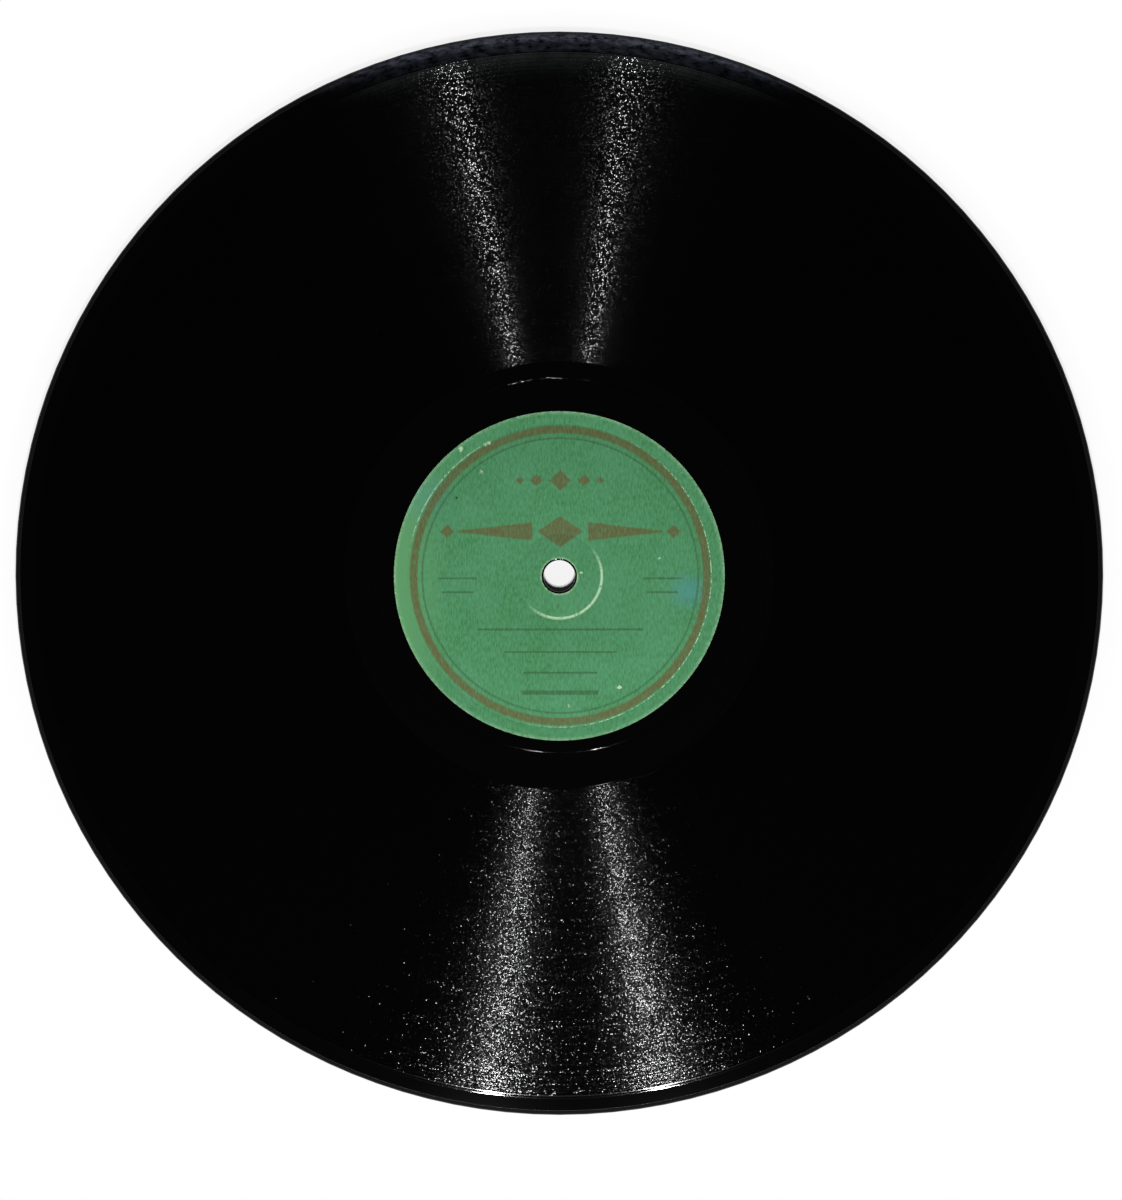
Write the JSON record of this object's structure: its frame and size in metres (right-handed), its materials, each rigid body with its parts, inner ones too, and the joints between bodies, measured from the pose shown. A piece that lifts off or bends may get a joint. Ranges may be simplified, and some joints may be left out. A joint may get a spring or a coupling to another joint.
{
  "type": "shellac record",
  "caption": "Flat round gramophone disc, pressed in layers: a filled shellac core between grooved playing layers, with a spindle hole and a paper label sunk into each side.",
  "frame": {"origin": "on the spindle axis, on the plane of the back playing face that the disc rests on", "axes": "+Z along the spindle axis out of the front face, +Y to the top of the front label"},
  "size_m": [0.25, 0.25, 0.0022],
  "materials": {
    "core_composition": "dull filled shellac",
    "playing_shellac": "pressed gloss, grooved",
    "kraft_paper": "rough kraft",
    "label_paper": "printed pulp paper"
  },
  "bodies": {
    "root": {"core": "core_composition", "front_paper": "kraft_paper", "front_layer": "playing_shellac", "front_label": "label_paper", "back_paper": "kraft_paper", "back_layer": "playing_shellac", "back_label": "label_paper"}
  },
  "joints": []
}
